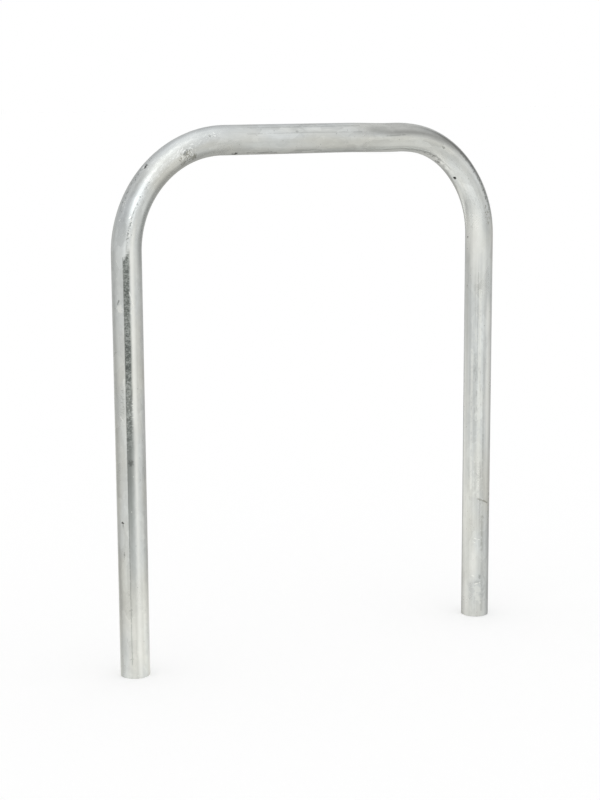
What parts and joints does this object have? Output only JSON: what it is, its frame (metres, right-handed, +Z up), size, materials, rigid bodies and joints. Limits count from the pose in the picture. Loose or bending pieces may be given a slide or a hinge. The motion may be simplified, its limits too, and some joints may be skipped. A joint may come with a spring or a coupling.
{
  "type": "hoop barrier",
  "caption": "Galvanised round-tube hoop barrier: straight legs with open feet to set in the ground, wide swept bends and a straight top rail.",
  "frame": {"origin": "midway between the two legs, at the level of their cut lower ends", "axes": "+X along the hoop from the left leg to the right leg, +Y through the hoop, +Z up"},
  "size_m": [0.9, 0.0636, 1.1],
  "materials": {
    "galvanised_steel": "hot-dip galvanised, semi-gloss, with faint streaks and a mottled grey weld seam"
  },
  "bodies": {
    "root": {"left_leg": "galvanised_steel", "left_bend": "galvanised_steel", "top_rail": "galvanised_steel", "right_bend": "galvanised_steel", "right_leg": "galvanised_steel"}
  },
  "joints": []
}
